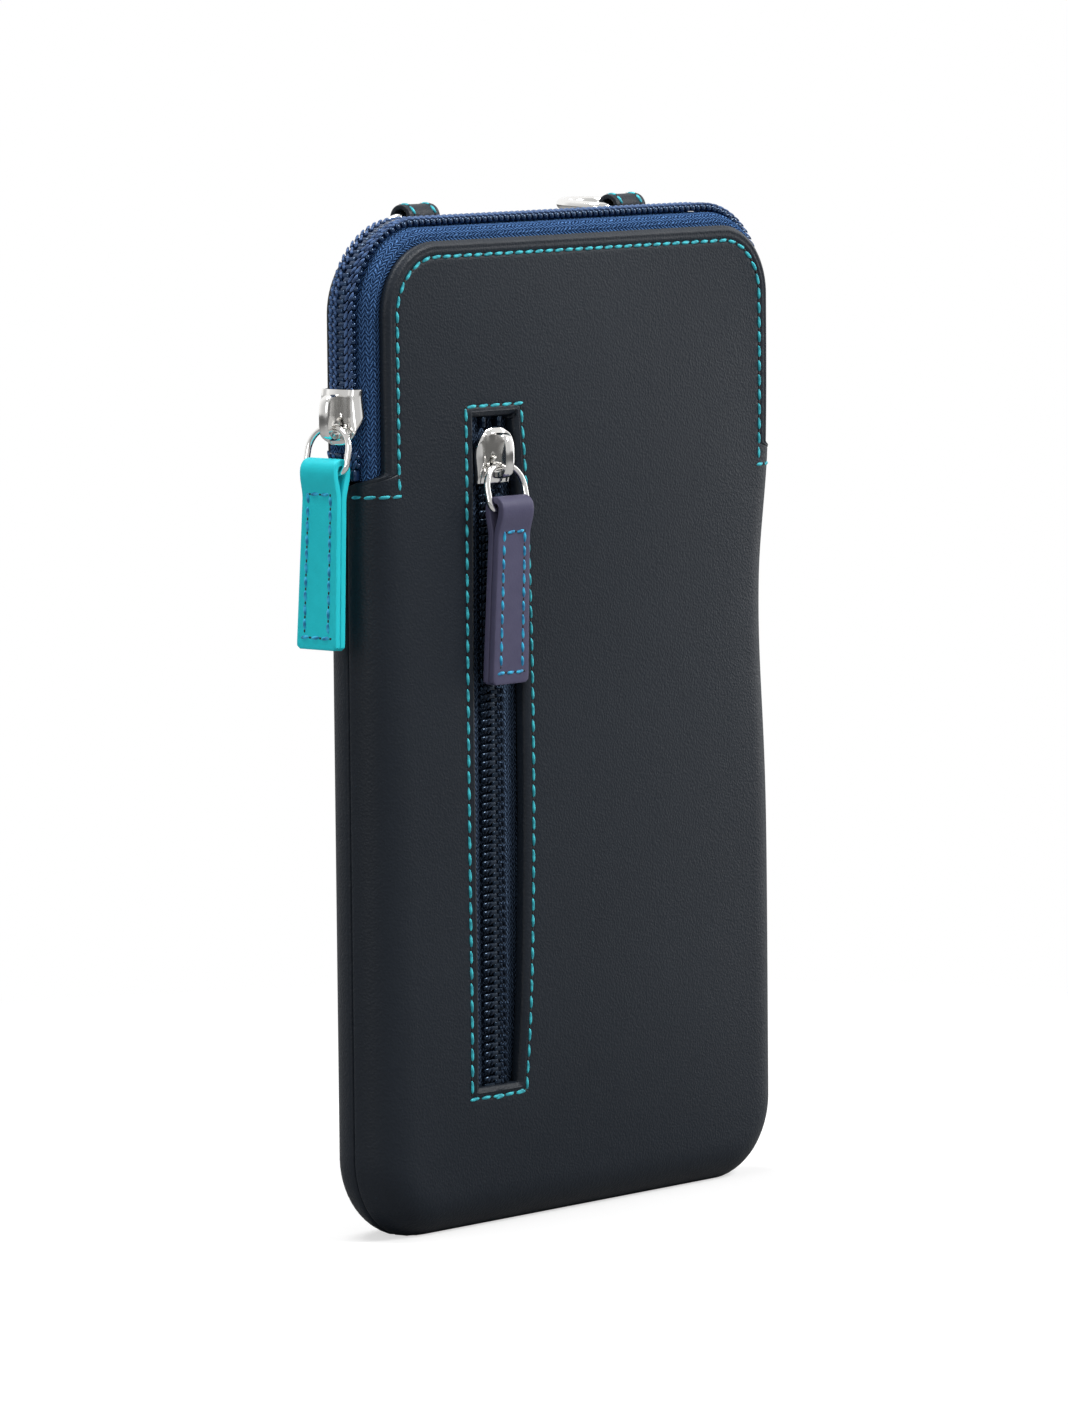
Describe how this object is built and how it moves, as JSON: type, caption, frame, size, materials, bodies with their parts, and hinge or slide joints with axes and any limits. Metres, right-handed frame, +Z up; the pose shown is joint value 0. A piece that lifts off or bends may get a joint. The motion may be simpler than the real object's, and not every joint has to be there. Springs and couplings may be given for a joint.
{
  "type": "phone pouch",
  "caption": "Slim upright leather phone pouch with a coil zip round its top half, a zipped front pocket, leather pull tabs and strap rings.",
  "frame": {"origin": "on the ground under the middle of the pouch's flat bottom edge, on the seam plane between the two panels", "axes": "+Z up along the pouch's height, -Y out of the front panel with the pocket zip, +X to the right when the front is seen"},
  "size_m": [0.1192, 0.0362, 0.1839],
  "materials": {
    "dark_leather": "fine grained, satin",
    "teal_leather": "fine grained, satin",
    "purple_leather": "fine grained, satin",
    "lining_cloth": "plain woven",
    "zip_tape": "knitted",
    "zip_coil": "satin",
    "nickel": "polished"
  },
  "bodies": {
    "pouch": {"front_panel": "dark_leather", "back_panel": "dark_leather", "front_lining": "lining_cloth", "back_lining": "lining_cloth", "pocket_bag": "lining_cloth", "main_zip_front_tape": "zip_tape", "main_zip_back_tape": "zip_tape", "main_zip_front_coil": "zip_coil", "main_zip_back_coil": "zip_coil", "main_zip_end_stops": "zip_coil", "pocket_zip_left_tape": "zip_tape", "pocket_zip_right_tape": "zip_tape", "pocket_zip_left_coil": "zip_coil", "pocket_zip_right_coil": "zip_coil", "pocket_zip_end_stops": "zip_coil", "left_strap_loop": "dark_leather", "right_strap_loop": "dark_leather"},
    "main_slider": {"main_slider": "nickel"},
    "main_pull_ring": {"main_pull_ring": "nickel"},
    "main_pull_tab": {"main_pull_tab": "teal_leather"},
    "pocket_slider": {"pocket_slider": "nickel"},
    "pocket_pull_ring": {"pocket_pull_ring": "nickel"},
    "pocket_pull_tab": {"pocket_pull_tab": "purple_leather"},
    "left_strap_ring": {"left_strap_ring": "nickel"},
    "right_strap_ring": {"right_strap_ring": "nickel"}
  },
  "joints": [
    {"name": "main_slider_slide", "type": "slide", "parent": "pouch", "child": "main_slider", "axis": [0, 0, 1], "range_m": [-0.004, 0.011], "deforming": ["main_zip_front_coil", "main_zip_back_coil"]},
    {"name": "main_ring_swing", "type": "hinge", "parent": "main_slider", "child": "main_pull_ring", "pos_m": [-0.05835, 0, 0.1457], "axis": [0, 1, 0], "range_deg": [-5, 95]},
    {"name": "main_tab_swing", "type": "hinge", "parent": "main_pull_ring", "child": "main_pull_tab", "pos_m": [-0.06015, 0, 0.13791], "axis": [0, 1, 0], "range_deg": [-3, 60]},
    {"name": "pocket_slider_slide", "type": "slide", "parent": "pouch", "child": "pocket_slider", "axis": [0, 0, -1], "range_m": [0, 0.1055], "deforming": ["pocket_zip_left_coil", "pocket_zip_right_coil"]},
    {"name": "pocket_ring_swing", "type": "hinge", "parent": "pocket_slider", "child": "pocket_pull_ring", "pos_m": [-0.026, -0.01103, 0.1376], "axis": [-1, 0, 0], "range_deg": [0, 95]},
    {"name": "pocket_tab_swing", "type": "hinge", "parent": "pocket_pull_ring", "child": "pocket_pull_tab", "pos_m": [-0.026, -0.01283, 0.12981], "axis": [-1, 0, 0], "range_deg": [0, 60]},
    {"name": "left_strap_ring_swing", "type": "hinge", "parent": "pouch", "child": "left_strap_ring", "pos_m": [-0.028, 0.00751, 0.1814], "axis": [1, 0, 0], "range_deg": [-20, 130]},
    {"name": "right_strap_ring_swing", "type": "hinge", "parent": "pouch", "child": "right_strap_ring", "pos_m": [0.028, 0.00751, 0.1814], "axis": [1, 0, 0], "range_deg": [-63, 87]}
  ]
}
